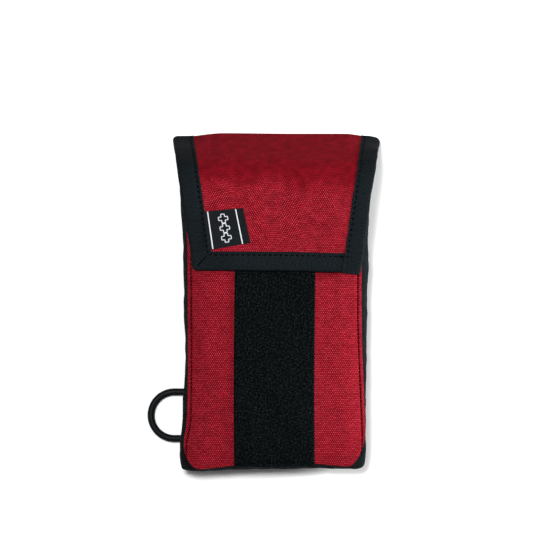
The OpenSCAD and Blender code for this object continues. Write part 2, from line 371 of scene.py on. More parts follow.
def woven(name, dark, light, warp, weft, holes=0.6, relief=0.12, rough=0.85, specular=0.03, mottle=0.12,
          glint=None, folded=None):
    """Plain-woven cloth: warp and weft take turns on top. Its colour is painted lighter where a yarn lies on
    top and darker in the shadowed rows and in a dark hole at each crossing's corner, painted shade of the
    weave's relief. glint is a painted highlight, the colour of the few yarns that catch the light.

    folded is (start, end, share): before it along the piece the colour falls to that share, painted shade on
    the flap's steep crown, and the weave's contrast fades."""
    g = Graph(name)
    x, y = g.split()
    warp_way = g.sine(g.plus(g.times(x, math.pi / warp), g.spread(g.noise(0.12, 1), -1.6, 1.6)))
    weft_way = g.sine(g.plus(g.times(y, math.pi / weft), g.spread(g.noise(0.1, 1), -1.3, 1.3)))
    turn = g.times(warp_way, weft_way)
    yarn_x, yarn_y = g.size(warp_way), g.size(weft_way)
    # gap, rows and crown paint the shade and light of the weave's relief into the colour
    gap = g.math("POWER", g.math("SUBTRACT", 1.0, g.math("MAXIMUM", yarn_x, yarn_y)), 0.7)
    crown = g.times(g.math("SIGN", turn), g.math("POWER", g.size(turn), 0.5))
    uneven = g.spread(g.noise(1.25 / warp, 2, (1, 0.8 * warp / weft, 1)), -1.5, 1.5)
    rows = g.spread(g.math("POWER", yarn_y, 0.6), -0.55, 0.35)
    on_top = g.plus(g.times(crown, 0.62), g.plus(uneven, rows))
    shade = g.times(g.spread(gap, 1, 1 - holes), g.mottle(0.2, 4, mottle))
    shade = g.times(shade, g.ramp(g.noise(0.05, 2), 0.35, 0.65, 0.955, 1.045))
    # painted shade: the colour darkens over the flap's steep crown and the weave's contrast fades there
    if folded:
        start, end, share = folded
        painted_shade_edge = g.plus(y, g.spread(g.noise(0.05, 3), -9, 9))
        on_top = g.times(on_top, g.ramp(painted_shade_edge, start, end, 0.4, 1))
        shade = g.times(shade, g.ramp(painted_shade_edge, start, end, share, 1))
    height = g.math("SUBTRACT", g.spread(crown, 0.5, 1.0), g.times(gap, 0.8))
    colour = g.between(g.ramp(on_top, -1.1, 1.1), dark, light)
    # painted highlight on the yarns that lie most on top
    if glint:
        colour = g.between(g.ramp(on_top, 0.35, 1.35), colour, glint)
    return g.finish(g.scale(colour, shade), height, relief, rough=rough, Specular_IOR_Level=specular)


def ribbed(name, colour, rib, rough=0.7, contrast=0.35, specular=0.3, relief=0.12, mottle=0.15, folded=None):
    """Narrow tape whose ribs lie across it, with a fine lengthwise yarn; its colour is painted darker between
    them, painted shade of their relief. folded is as for woven(): painted shade over the flap's crown.
    """
    g = Graph(name)
    x, y = g.split()
    ribs = g.size(g.sine(g.times(y, math.pi / rib)))
    yarns = g.size(g.sine(g.times(x, math.pi / (0.6 * rib))))
    height = g.plus(g.times(ribs, 0.7), g.times(yarns, 0.3))
    # painted shade: darker between the ribs and the yarns
    shade = g.times(g.spread(height, 1 - contrast, 1 + contrast), g.mottle(1.7, 3, mottle, (1, 0.7, 1)))
    # painted shade over the flap's crown
    if folded:
        start, end, share = folded
        shade = g.times(shade, g.ramp(y, start, end, share, 1))
    return g.finish(g.scale(colour, shade), height, relief, rough=rough, Specular_IOR_Level=specular)


def smooth(name, colour, rough=0.5, specular=0.4, wear=0.1, relief=0.04, uv=True, **fixed):
    """Moulded, coated or metal stuff with a fine grain and uneven gloss."""
    g = Graph(name, uv)
    grain = 1.2
    shade = g.spread(g.noise(grain / 8, 3), 1 - wear, 1 + wear)
    gloss = g.spread(g.noise(grain / 5, 3), rough - 0.08, rough + 0.08)
    return g.finish(g.scale(colour, shade), g.noise(grain, 4), relief, 0.5, gloss,
                    Specular_IOR_Level=specular, **fixed)


def looped(name, dark, light, share):
    """The crushed pile of a loop tape: painted highlights on the tufts that catch the light, over that share
    of it, and painted shade in the hollows among them.
    """
    g = Graph(name)
    # painted highlights on the tufts and painted shade in the hollows
    tufts = g.ramp(g.noise(1.05, 4), 0.62 - 0.35 * share, 0.74)
    colour = g.scale(g.between(tufts, dark, light), g.spread(g.noise(0.12, 2), 0.75, 1.25))
    return g.finish(colour, g.noise(1.6, 4), 0.4, 0.8, 0.9, Specular_IOR_Level=0.03)


def crinkled(name, colour, rough, metal=0.0, fold=0.25, specular=0.5):
    """Film or foil with soft creases."""
    g = Graph(name)
    creases = g.node("TexVoronoi", {"Scale": fold, "Vector": g.place}, feature="DISTANCE_TO_EDGE")["Distance"]
    height = g.plus(g.math("MINIMUM", creases, 0.25), g.times(g.noise(0.6, 3), 0.3))
    shade = g.spread(g.noise(0.15, 3), 0.88, 1.08)
    return g.finish(g.scale(colour, shade), height, 0.6, 0.5, rough, Specular_IOR_Level=specular,
                    Metallic=metal)


CANVAS = {"warp": 0.64, "weft": 1.136}
# The red canvas's weave colours: dark and light paint the weave's shade and light, glint is a painted
# highlight
CANVAS_RED = {"dark": (0.088, 0.0003, 0.0026), "light": (0.305, 0.0080, 0.0180),
              "glint": (0.41, 0.047, 0.070), "specular": 0.02}
BINDING_LOOK = {"colour": (0.0048, 0.0072, 0.0086), "rib": 0.8, "specular": 0.03, "mottle": 0.8}
DRESSING_WHITE = (0.84, 0.82, 0.77)
RED = woven("red_canvas", **CANVAS_RED, **CANVAS)
BLACK = woven("black_canvas", (0.0012, 0.0017, 0.0021), (0.0078, 0.0111, 0.0130), **CANVAS, mottle=0.2)
LINING = woven("lining", (0.024, 0.026, 0.029), (0.058, 0.062, 0.068), 0.35, 0.35, relief=0.05, rough=0.55,
               specular=0.35)
BINDING = ribbed("binding_tape", **BINDING_LOOK)
WEBBING = ribbed("webbing", (0.0050, 0.0066, 0.0076), 1.1, relief=0.2, specular=0.04)
LOOPS = looped("loop_tape", (0.0004, 0.0009, 0.0011), (0.0118, 0.0164, 0.0174), 0.5)
LOOP_PILE = looped("loop_pile", (0.0008, 0.0014, 0.0016), (0.0360, 0.0460, 0.0480), 0.35)
HOOKS = smooth("hook_tape", (0.008, 0.010, 0.011), 0.5)
THREAD = ribbed("black_thread", (0.0005, 0.0007, 0.0008), 0.35, rough=0.8, specular=0.01)
LABEL = woven("label_weave", (0.0025, 0.0035, 0.0045), (0.0085, 0.0110, 0.0130), 0.22, 0.3, relief=0.05,
              rough=0.6, specular=0.05)
WHITE_THREAD = ribbed("white_thread", (0.56, 0.57, 0.60), 0.3, rough=0.6, contrast=0.12, specular=0.1)
RING = smooth("ring_plastic", (0.0028, 0.0044, 0.0056), 0.5, 0.08, 0.08, 0.02, uv=False)
GAUZE = woven("gauze", (0.60, 0.58, 0.52), DRESSING_WHITE, 0.8, 0.9, holes=0.5, relief=0.15, rough=0.95)
CREPE = woven("crepe", (0.34, 0.21, 0.125), (0.60, 0.42, 0.28), 0.5, 1.4, relief=0.3, rough=0.95)
CLOTH_TAPE = woven("cloth_tape", (0.66, 0.64, 0.58), DRESSING_WHITE, 0.3, 0.3, holes=0.2, relief=0.04)
CORE = smooth("core_plastic", (0.70, 0.72, 0.74), 0.35, uv=False)
FOIL = crinkled("foil_film", (0.60, 0.63, 0.66), 0.28, metal=0.9, fold=0.2)
FILM = crinkled("clear_film", (0.24, 0.42, 0.58), 0.22, fold=0.12)
SACHET = crinkled("sachet_paper", (0.72, 0.76, 0.80), 0.6, fold=0.08, specular=0.3)
WIPE_FOIL = crinkled("foil_sachet", (0.40, 0.54, 0.66), 0.35, metal=0.3)
STEEL = smooth("steel", (0.56, 0.56, 0.57), 0.3, uv=False, Metallic=1.0)


# ---------- the pouch's rails ----------

# Places round the pouch, from the mouth on the left to the mouth on the right. Each holds where the gusset's
# belly, its front seam and its back seam are, in X and Y.
STATIONS = (
    ((-61.0, 93.0), (-58.8, 83.0), (-58.8, 101.5)),
    ((-59.2, 68.0), (-56.0, 57.0), (-53.0, 74.0)),
    ((-57.4, 40.0), (-54.9, 32.0), (-49.4, 44.0)),
    ((-57.2, 5.0), (-54.8, 4.0), (-48.9, 6.0)),
    ((-55.6, -38.0), (-54.6, -36.0), (-48.9, -38.0)),
    ((-58.2, -72.0), (-55.1, -75.0), (-49.2, -72.0)),
    ((-59.7, -92.0), (-57.9, -88.0), (-50.2, -90.0)),
    ((-59.4, -103.0), (-56.0, -97.6), (-50.4, -97.0)),
    ((-57.8, -105.6), (-50.4, -104.8), (-48.5, -99.4)),
    ((-44.0, -105.2), (-42.0, -104.2), (-42.0, -99.2)),
    ((-15.0, -104.6), (-20.0, -101.4), (-15.0, -98.6)),
    ((20.0, -104.4), (20.0, -100.4), (18.0, -98.4)),
    ((42.0, -104.5), (39.0, -102.5), (41.0, -98.6)),
    ((53.8, -105.0), (48.2, -103.2), (48.0, -98.8)),
    ((56.6, -101.4), (54.4, -92.4), (49.8, -96.0)),
    ((55.2, -88.0), (56.4, -82.0), (49.4, -86.0)),
    ((56.2, -60.0), (55.2, -56.0), (48.9, -58.0)),
    ((57.2, -15.0), (53.6, -14.0), (48.9, -16.0)),
    ((57.5, 30.0), (53.6, 24.0), (48.9, 32.0)),
    ((59.0, 66.0), (55.6, 56.0), (53.0, 72.0)),
    ((61.8, 93.0), (59.2, 83.0), (59.2, 101.5)),
)
LEFT_CORNER, RIGHT_CORNER = 7.5, 13.5
BELLY_Z, FRONT_SEAM_Z, BACK_SEAM_Z = 18.0, 34.2, 1.2
MOUTH_Y = box_mm("front_panel")[1][1]
BACK_TOP_Y = 95.0
RAIL_STEP = 0.6


def make_rails():
    """The belly, front and back rails, sampled together, and where the two lower corners fall in them."""
    stations = np.array(STATIONS).reshape(len(STATIONS), 6)
    numbered = cut_corners(np.hstack([stations, np.arange(len(stations))[:, None]]), 4)
    lengths = runs(numbered[:, :2])
    rails = at_lengths(numbered, lengths, np.linspace(0, lengths[-1], round(lengths[-1] / RAIL_STEP)))
    corners = [int(np.argmin(abs(rails[:, 6] - corner))) for corner in (LEFT_CORNER, RIGHT_CORNER)]
    return rails[:, 0:2], rails[:, 2:4], rails[:, 4:6], corners


BELLY, FRONT, BACK, CORNERS = make_rails()


def patch_inside(rail, top_y, fine, band, coarse):
    """Fills a rail from its lower corners up to a straight upper edge."""
    left, bottom, right = rail[:CORNERS[0] + 1][::-1], rail[CORNERS[0]:CORNERS[1] + 1], rail[CORNERS[1]:]
    left, right = left[left[:, 1] < top_y], right[right[:, 1] < top_y]
    left_run, bottom_run, right_run = map(runs, (left, bottom, right))
    rows = edge_steps(left_run[-1], fine, band, coarse)
    cols = edge_steps(bottom_run[-1], fine, band, coarse)
    left_edge = at_lengths(left, left_run, rows)
    right_edge = at_lengths(right, right_run, rows * (right_run[-1] / rows[-1]))
    top_edge = mix((cols / cols[-1])[:, None], left_edge[-1], right_edge[-1])
    return coons(left_edge, right_edge, at_lengths(bottom, bottom_run, cols), top_edge)


# ---------- pouch ----------

GUSSET_T = 1.2
BELLY_COLUMNS = 26
# The pouch's middle, seen from above
MIDDLE = np.array([0, -10])
FRONT_T, BACK_T, LINING_CLOTH_T = 1.0, 0.9, 0.4


def seam_sag(x, y):
    """How far the front hangs below its usual height: at the bottom, low on the left and down the right."""
    bottom = 1.1 * ease(-y, 62, 104)
    left = 2.6 * ease(-x, 15, 60) * ease(-y, -40, 90)
    right = 2.4 * ease(x, 0, 58) * ease(-y, -10, 40)
    return bottom + left + right


def gusset_point(across, inward=0.0):
    """The gusset's surface over all its length, at shares of its width from the back seam to the front."""
    def at_height(rail, z):
        return lifted(rail, z + np.zeros(len(rail)))[:, None]

    back, belly = at_height(BACK, BACK_SEAM_Z), at_height(BELLY, BELLY_Z)
    front = at_height(FRONT, FRONT_SEAM_Z - seam_sag(*FRONT.T))
    pull = 2 * belly - (back + front) / 2
    h = np.asarray(across)[None, :, None]
    points = (1 - h) ** 2 * back + 2 * h * (1 - h) * pull + h ** 2 * front
    normals = unit(np.cross(np.gradient(points, axis=0), np.gradient(points, axis=1)))
    normals *= -np.sign((normals * (points - [*MIDDLE, 20])).sum(-1, keepdims=True))
    run = runs(BELLY)[:, None]
    z = points[..., 2]
    belly_share = np.sin(math.pi * np.asarray(across))[None, :]
    crumple = 0.45 * ripple(run, z * 0.6, 34, 3) + 0.22 * ripple(run, z, 11, 5)
    return points + normals * (inward - crumple * belly_share ** 0.7)[..., None]


def make_gusset():
    across = 0.5 - 0.5 * np.cos(math.pi * np.linspace(0, 1, BELLY_COLUMNS))
    outer = gusset_point(across)
    run = runs(BELLY)
    depth = runs(outer[len(outer) // 2])
    uv = pairs(run[:, None], depth)
    made = shell("gusset", outer, gusset_point(across, GUSSET_T), uv, BLACK, "black_canvas", body="pouch",
                 replaces=["gusset_left", "gusset_right", "gusset_bottom"])


GROOVE = 2.3
# How far the front's face has risen at some distances from its edge
EDGE_IN = (0, 0.3, 0.8, 1.5, 2.4, 3.3, 5, 8, 13, 20, 30)
EDGE_LIFT = (0, 0.55, 0.98, 1.2, 1.45, 1.75, 2.35, 3.2, 4.08, 4.33, 4.4)
# The two top-stitched seams run straight down the sides, and the lower corners cut across them
SIDE_SEAMS = [np.array([place[1] for place in STATIONS[:7]] + [(-58.4, -112.0)]),
              np.array([(56.0, -112.0)] + [place[1] for place in STATIONS[15:]])]


def from_seam(x, y):
    """How far inside the nearer side seam a place is."""
    left, right = SIDE_SEAMS
    edge_left = np.interp(-y, -left[:, 1], left[:, 0])
    edge_right = np.interp(y, right[:, 1], right[:, 0])
    return np.minimum(x - edge_left, edge_right - x)


def front_height(points, from_edge):
    """Height of the front's face: a turned edge, a padded crown, and the stitched grooves down its sides."""
    x, y = points[..., 0], points[..., 1]
    seam = from_seam(x, y)
    sewn = 1.5 * np.exp(-(abs(seam - GROOVE) / 0.48) ** 3) + 0.2 * ease(3.2 - seam, 0, 1.2)
    waves = 0.32 * ripple(x, y, 46, 11) + 0.14 * ripple(x, y, 17, 12)
    waves = waves * ease(from_edge, 2.5, 9) - sewn * ease(from_edge, 0, 0.9)
    return FRONT_SEAM_Z + np.interp(from_edge, EDGE_IN, EDGE_LIFT) - seam_sag(x, y) + waves


def front_face(points):
    return front_height(points, distance_to(FRONT, points))


def make_front():
    points = patch_inside(FRONT, MOUTH_Y, 0.3, 9, 1.6)
    top = front_face(points)
    made = slab("front_cloth", points, top, top - FRONT_T, RED, "red_canvas", body="pouch",
                replaces=["front_panel"])


def make_back():
    points = patch_inside(BACK, BACK_TOP_Y, 0.5, 4, 3.0)
    from_edge = distance_to(BACK, points)
    waves = 0.06 * (1.5 + ripple(points[..., 0], points[..., 1], 40, 21))
    low = 0.7 * (1 - ease(from_edge, 0, 3)) + waves * ease(from_edge, 2, 12)
    made = slab("back_cloth", points, low, low + BACK_T, BLACK, "black_canvas", body="pouch",
                replaces=["back_panel"])


def make_linings():
    points = patch_inside(BACK, 94.0, 1.5, 6, 5.0) * [0.955, 0.97] + [0, 3.0]
    x, y = points[..., 0], points[..., 1]
    over_lap = 1.1 * ease(y, 82, 87.5)
    make_lining("back_lining_cloth", points, 1.75 + 0.15 * ripple(x, y, 30, 31) + over_lap, "back_lining")
    points = patch_inside(FRONT, MOUTH_Y - 3, 1.5, 6, 5.0) * [0.93, 0.96]
    from_edge = distance_to(FRONT, points)
    below = FRONT_T + 0.9 + 1.2 * (1 - ease(from_edge, 3, 9))
    make_lining("front_lining_cloth", points, front_height(points, np.maximum(from_edge, 4)) - below,
                "front_lining")


def make_lining(name, points, bottom, node):
    made = slab(name, points, bottom, bottom + LINING_CLOTH_T, LINING, "lining", body="pouch",
                replaces=[node])


UP = np.array([0.0, 0.0, 1.0])
# A stitch's thickness at some shares of its length, and how deep it is pressed in
STITCH_SHAPE = ((-0.5, 0.35), (-0.36, 0.9), (0, 1.0), (0.36, 0.9), (0.5, 0.35))
STITCH_PRESS = 0.35


def make_stitches(name, lines, pitch, length, radius, **how):
    """Short threads along each line; a line is points and the way up at each."""
    bits = Bits()
    angles = [k * math.pi / 3 for k in range(6)]
    for points, up in lines:
        run = runs(points)
        for centre in np.arange(pitch / 2, run[-1] - pitch / 4, pitch):
            start, middle, end = at_lengths(points, run, centre + np.array([-0.5, 0, 0.5]) * length)
            way = unit(end - start)
            side = unit(np.cross(way, at_lengths(up, run, centre)))
            top = unit(np.cross(side, way))
            rings = []
            for share, width in STITCH_SHAPE:
                sunk = radius * (STITCH_PRESS + 1.2 * (2 * share) ** 4)
                hub = middle + way * share * length - top * sunk
                rings.append([hub + radius * width * (side * math.cos(a) + 0.7 * top * math.sin(a))
                              for a in angles])
            bits.add(rings, [(a * radius, share * length) for share, _ in STITCH_SHAPE for a in angles])
    return bits.piece(name, THREAD, "binding_tape", **how)


def along_up(points):
    """A line to stitch whose threads lie face up."""
    return points, np.tile(UP, (len(points), 1))


def make_front_stitches():
    lines = []
    for seam, inward, last in zip(SIDE_SEAMS, (1, -1), (-99.0, -95.0)):
        y = np.arange(last, MOUTH_Y - 2, 0.7)
        seam = seam[np.argsort(seam[:, 1])]
        points = pairs(np.interp(y, seam[:, 1], seam[:, 0]) + inward * GROOVE, y)
        lines.append(along_up(lifted(points, front_face(points) + 0.3)))
    make_stitches("front_stitches", lines, 2.65, 1.9, 0.42, body="pouch")
    outward = BELLY - MIDDLE
    lines = []
    for share, rise in ((0.075, -14.0), (0.93, 22.0)):
        lines.append((gusset_point([0.0, share])[:, 1], unit(lifted(outward, np.full(len(BELLY), rise)))))
    make_stitches("gusset_stitches", lines, 3.0, 2.1, 0.36, body="pouch")


TAPE_T = 1.05
PILE = 0.35
TAPE_STEP = 0.62
LOOP_COUNT = 3200
LOOP_WIRE = 0.055


def make_loop_tape():
    """The loop tape: a slab with an uneven pile, and loose loops standing out of it."""
    half = (TAPE_HIGH[0] - TAPE_LOW[0]) / 2 + 0.15
    xs = edge_steps(2 * half, 0.25, 1.5, TAPE_STEP) - half
    ys = np.arange(TAPE_LOW[1] - 0.7, TAPE_HIGH[1], TAPE_STEP)
    x, y = np.meshgrid(xs, ys)
    points = pairs(x + 0.45 * np.sin(y / 37.0) - 0.5, y)
    ground = front_face(points)
    from_side = half - abs(x)
    pile = PILE * (ripple(x, y, 2.1, 41) + ripple(x, y, 1.3, 42) + 0.6 * ripple(x, y, 5.5, 43))
    pile *= ease(from_side, 0.3, 1.8)
    edge = TAPE_T * (1 - 0.6 * (1 - ease(from_side, 0, 0.9)))
    end = 1 - 0.55 * (1 - ease(y - ys[0], 0, 3.5))
    outer = lifted(points, ground + edge * end + 0.5 * pile)
    shell("loop_tape", outer, lifted(points, ground - 0.1), points, LOOPS, "loop_tape", body="pouch",
          replaces=["loop_strip"])
    rng = np.random.default_rng(44)
    bits = Bits()
    spokes = [k * 2.094 for k in range(3)]
    for _ in range(LOOP_COUNT):
        row, col = rng.integers(4, len(ys) - 2), rng.integers(5, len(xs) - 5)
        if FLAP_EDGE_Y + 8 < ys[row]:
            continue
        base = outer[row, col] - [0, 0, 0.25]
        turn, radius, tilt = rng.uniform(0, 6.28), rng.uniform(0.28, 0.62), rng.uniform(-0.9, 0.9)
        way = np.array([math.cos(turn), math.sin(turn), 0])
        side = np.array([-way[1], way[0], 0])
        rise = unit(UP * math.cos(tilt) + side * math.sin(tilt))
        rings = []
        for angle in [math.pi * k / 5 for k in range(6)]:
            out, up = way * math.cos(angle), rise * math.sin(angle)
            hub = base + radius * (out + up * 1.15)
            rings.append([hub + LOOP_WIRE * ((out + up) * math.cos(a) + side * math.sin(a)) for a in spokes])
        bits.add(rings, [(base[0], base[1])] * 18)
    bits.piece("loop_pile", LOOP_PILE, "loop_tape", body="pouch")


# ---------- flap ----------

FLAP_EDGE_Y = box_mm("flap_binding_bottom")[0][1]
NOSE_R, BROW_R = 1.6, 26.0
LAP_Y, LAP_RISE = 89.0, 0.55
CLOTH_AT, CLOTH_T = 0.3, 0.8
LINING_T = 0.5
LEFT_BIND, RIGHT_BIND, BOTTOM_BIND = 13.2, 11.8, 11.9
CORNER_R = 2.4
HOOK_TAPE_T, HOOK_PITCH = 0.7, 1.7
# Half-widths left and right of the middle, at the free edge and where the flap is widest
FREE_HALF, WIDE_HALF = {-1: 51.5, 1: 52.9}, {-1: 64.7, 1: 66.0}
WIDE_Y = 105.0


def arc(centre, radius, start, end, steps):
    """Points round a circle, between two angles in degrees."""
    angles = np.radians(np.linspace(start, end, steps))
    return np.stack([centre[0] + radius * np.cos(angles), centre[1] + radius * np.sin(angles)], -1)


def make_profile():
    """The flap's outer face from the back lap, round the nose and over the brow to the free edge, in Y, Z."""
    turn = math.degrees(math.pi - SLOPE)
    nose_y = FOLD_Y - NOSE_R * math.tan(math.radians(turn / 2))
    brow_y = FRONT_FOLD[0] - BROW_R * math.tan(SLOPE / 2)
    lap = [(LAP_Y, LAP_RISE), (LAP_Y + 5, LAP_RISE), (nose_y - 5, 0.05)]
    nose = arc((nose_y, NOSE_R), NOSE_R, -90, turn - 90, 22)
    brow = arc((brow_y, FRONT_FOLD[1] - BROW_R), BROW_R, turn - 90, 90, 40)
    line = np.concatenate([lap, nose, brow, [(FLAP_EDGE_Y, FRONT_FOLD[1])]])
    lengths = runs(line)
    return line, lengths, lengths[len(lap)], lengths[len(lap) + len(nose) - 1]


PROFILE, PROFILE_RUN, NOSE_START, NOSE_END = make_profile()
FLAP_LENGTH = PROFILE_RUN[-1]
SPLIT_AT = NOSE_END + 20.0
FRONT_FOLD_V = FLAP_LENGTH - (FRONT_FOLD[0] - FLAP_EDGE_Y)
NOSE_V = (NOSE_START + NOSE_END) / 2
LOW_TAPE_V = FLAP_LENGTH - BOTTOM_BIND
# The flap's canvas, with painted shade darkening its colour over the steep crown before the front fold
FLAP_RED = woven("red_canvas_flap", **CANVAS_RED, **CANVAS, mottle=0.17,
                 folded=(FRONT_FOLD_V - 1, FRONT_FOLD_V + 16, 0.76))
# The side tapes, with painted shade darkening them over the crown
SIDE_BINDING = ribbed("binding_tape_side", **BINDING_LOOK, folded=(FRONT_FOLD_V - 12, FRONT_FOLD_V + 4, 0.5))


def flap_rows(start, end):
    """Places along the flap, close together round the nose."""
    marks = [start]
    while marks[-1] < end - 0.2:
        near_nose = NOSE_START - 1.5 < marks[-1] < NOSE_END + 1.0
        marks.append(min(end, marks[-1] + (0.26 if near_nose else 0.85)))
    return np.array(marks)


def profile_at(v):
    """Y, Z and the outward normal at a distance along the flap."""
    middle = np.clip(v, 0.3, FLAP_LENGTH - 0.3)
    ahead = at_lengths(PROFILE, PROFILE_RUN, middle + 0.3)
    behind = at_lengths(PROFILE, PROFILE_RUN, middle - 0.3)
    way = unit(ahead - behind)
    place = at_lengths(PROFILE, PROFILE_RUN, v)
    over = np.maximum(v - FLAP_LENGTH, 0)[..., None]
    return place + way * over, np.stack([way[..., 1], -way[..., 0]], -1)


def flap_half(side, y):
    """Half-width of the flap, which narrows evenly towards its free edge."""
    share = (np.minimum(y, WIDE_Y) - FLAP_EDGE_Y) / (WIDE_Y - FLAP_EDGE_Y)
    return mix(share, FREE_HALF[side], WIDE_HALF[side])


def round_corners(x, v):
    """Pulls places near the flap's two free corners in to a round corner."""
    from_end = FLAP_LENGTH - v
    half = np.where(x < 0, flap_half(-1, FLAP_EDGE_Y + from_end), flap_half(1, FLAP_EDGE_Y + from_end))
    p, q = CORNER_R - (half - abs(x)), CORNER_R - from_end
    corner = (p > 0) & (q > 0)
    squeeze = np.where(corner, np.maximum(p, q) / np.maximum(np.hypot(p, q), 1e-6), 1.0) - 1
    return x + np.sign(x) * p * squeeze, v + q * squeeze


def flap_point(x, v, t):
    """Where the flap's cloth is: x across it, v along it, t below its outer face."""
    x, v, t = np.broadcast_arrays(x, v, t)
    x, v = round_corners(x, v)
    lopsided = 0.006 * x + 0.9 * ease(x, 0, 50)
    lump = ease(x, 45, 51) * ease(v, FLAP_LENGTH - 5, FLAP_LENGTH)
    v = v + lopsided * ease(v, FLAP_LENGTH - 45, FLAP_LENGTH) + lump
    on_brow = ease(v, NOSE_END + 12, NOSE_END + 30) * ease(FLAP_LENGTH - v, 12, 30)
    pinch = 1.1 * ease(abs(x), 56, 65) * np.exp(-((v - NOSE_V) / 2.5) ** 2)
    x = x - np.sign(x) * pinch
    place, normal = profile_at(v + 1.9 * ripple(x, 0 * v, 38, 53) * on_brow)
    near_edge = ease(v, FLAP_LENGTH - 45, FLAP_LENGTH - 4)
    droop = np.where(x < 0, 2.1, 0.5) * ease(abs(x), 25, 50) * near_edge
    brow_dip = 0.9 * ease(abs(x), 30, 64) * ease(v, NOSE_END + 15, NOSE_END + 35)
    bow = 2.3 * ease(-x, 33, 59) + 0.35 * ease(x, -30, 10)
    bow = bow + 1.8 * ease(x, 44, 60) + 1.4 * ease(x, 58, 67)
    bow = bow * (1 - ease(abs(v - NOSE_V), 3, 30))
    calm = ease(v, NOSE_END + 4, NOSE_END + 25)
    depth = t + (0.30 * ripple(x, v, 42, 51) + 0.10 * ripple(x, v, 15, 52)) * calm
    y = place[..., 0] - depth * normal[..., 0] - bow
    z = place[..., 1] - depth * normal[..., 1] - droop - brow_dip * (1 - near_edge)
    return np.stack([x, y, np.maximum(z, 0.02)], -1)


def flap_way_up(x, v):
    return unit(flap_point(x, v, -1.0) - flap_point(x, v, 0.0))


def fold_blend(made):
    """Bakes a flap piece's placement into its mesh."""
    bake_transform(made)


def flap_sheet(name, start, end, margin, depth, thickness, material, slot, replaces, thin_fold=1.0):
    """One cloth of the flap; thin_fold is the share of its thickness that it keeps behind the fold."""
    rows = flap_rows(start, end)
    thickness = thickness * mix(ease(rows, NOSE_END, NOSE_END + 6), thin_fold, 1.0)[:, None]
    y = profile_at(rows)[0][:, 0]
    left, right = -flap_half(-1, y) + margin, flap_half(1, y) - margin
    x, v = np.broadcast_arrays(mix(np.linspace(0, 1, 74), left[:, None], right[:, None]), rows[:, None])
    made = shell(name, flap_point(x, v, depth), flap_point(x, v, depth + thickness), pairs(x, v), material,
                 slot, replaces=replaces)
    fold_blend(made)


def make_flap_cloth():
    inside = CLOTH_AT + CLOTH_T + 0.05
    for name, start, margin, depth, thickness, material, slot, thin_fold in (
            ("cloth", 1.2, 0.9, CLOTH_AT, CLOTH_T, FLAP_RED, "red_canvas", 1.0),
            ("lining", 3.6, 2.0, inside, LINING_T, LINING, "lining", 0.45)):
        node = "shell" if name == "cloth" else name
        flap_sheet(f"flap_{name}_rear", start, SPLIT_AT, margin, depth, thickness, material, slot,
                   [f"crown_{node}"], thin_fold)
        flap_sheet(f"flap_{name}_front", SPLIT_AT, FLAP_LENGTH - margin, margin, depth, thickness, material,
                   slot, [f"flap_{node}"])


STITCH_PITCH = 3.4
STITCH_IN = 2.1
# How thick the cloth is inside the binding, where it lies flat and where it turns round the nose
BOUND_T, THIN_BOUND_T = 1.47, 0.82
# How far the right side tape rises where it runs over the bottom one
OVERLAP = 0.5


def tape_points(width, inner_width, depth, lift, along):
    """Rows of (distance in, depth) for a tape folded over cloth of some depths; stitches pull it in."""
    depth, lift = depth[:, None], lift[:, None]
    pull = 0.3 * np.cos(math.pi * along[:, None] / STITCH_PITCH) ** 2
    # How far in, how deep, and how much of the stitches' pull it takes, for each point over the cloth
    over = np.array([(width, 0.0, 0), (width, -0.25, 0), (width - 0.4, -0.42, 0), (width - 1.2, -0.34, 0.5),
                     (width - STITCH_IN, -0.30, 1), (width - 3.1, -0.44, 0.3), (width * 0.6, -0.52, 0),
                     (width * 0.4, -0.54, 0), (2.4, -0.54, 0), (1.1, -0.44, 0), (0.45, -0.14, 0)]).T
    under = np.array([(0.45, 0.14), (1.1, 0.44), (inner_width - 1.2, 0.45), (inner_width, 0.3),
                      (inner_width, 0.0), (inner_width - 2, 0.0), (1.4, -0.1)]).T
    inside_top = np.array([(1.4, 0.1), (width - 2, 0.0)]).T
    ones = np.ones_like(depth)
    a = np.hstack([ones * over[0], ones * [0.12, 0.0, 0.12], ones * under[0], ones * inside_top[0]])
    raised = np.where(over[1] < -0.05, np.minimum(over[1] + pull * over[2] - lift, -0.1), over[1])
    lowered = depth + under[1] + lift * (under[1] > 0.05)
    t = np.hstack([raised, depth * [0.22, 0.5, 0.78], lowered, ones * inside_top[1]])
    return a, t + CLOTH_AT


def girth(a, t):
    """Distance round each section, for the tape's UVs."""
    steps = np.hypot(np.diff(a, axis=1), np.diff(t, axis=1))
    return np.hstack([np.zeros((len(a), 1)), np.cumsum(steps, axis=1)])


def cloth_depth(v):
    """How thick the cloth is inside the binding."""
    beyond = np.maximum(NOSE_START - v, v - NOSE_END)
    return mix(ease(beyond, 0.5, 6), THIN_BOUND_T, BOUND_T)


def side_tape(name, side, start, end, width, replaces, mitre=0.0, over=0.0):
    """A tape down one side; mitre cuts its end along a slope, and over lifts it across the bottom tape."""
    rows = flap_rows(start, end)
    share = (rows - start) / (end - start)
    lift = over * ease(rows, LOW_TAPE_V - 4, LOW_TAPE_V)
    pressed = 0.32 * (1 - ease(end - rows, 0, 1.0)) if mitre else 0 * rows
    a, t = tape_points(width, width - 1.5, cloth_depth(rows), lift - pressed, rows)
    v = start + share[:, None] * (end - mitre * a - start)
    wobble = 0.26 * ripple(v, 0 * v, 17, 61 + side) * ease(v, NOSE_END, NOSE_END + 8)
    x = side * (flap_half(side, profile_at(v)[0][..., 0]) - a + wobble)
    fold_blend(sweep(name, flap_point(x, v, t), pairs(girth(a, t), v), SIDE_BINDING, "binding_tape",
                     replaces=replaces))


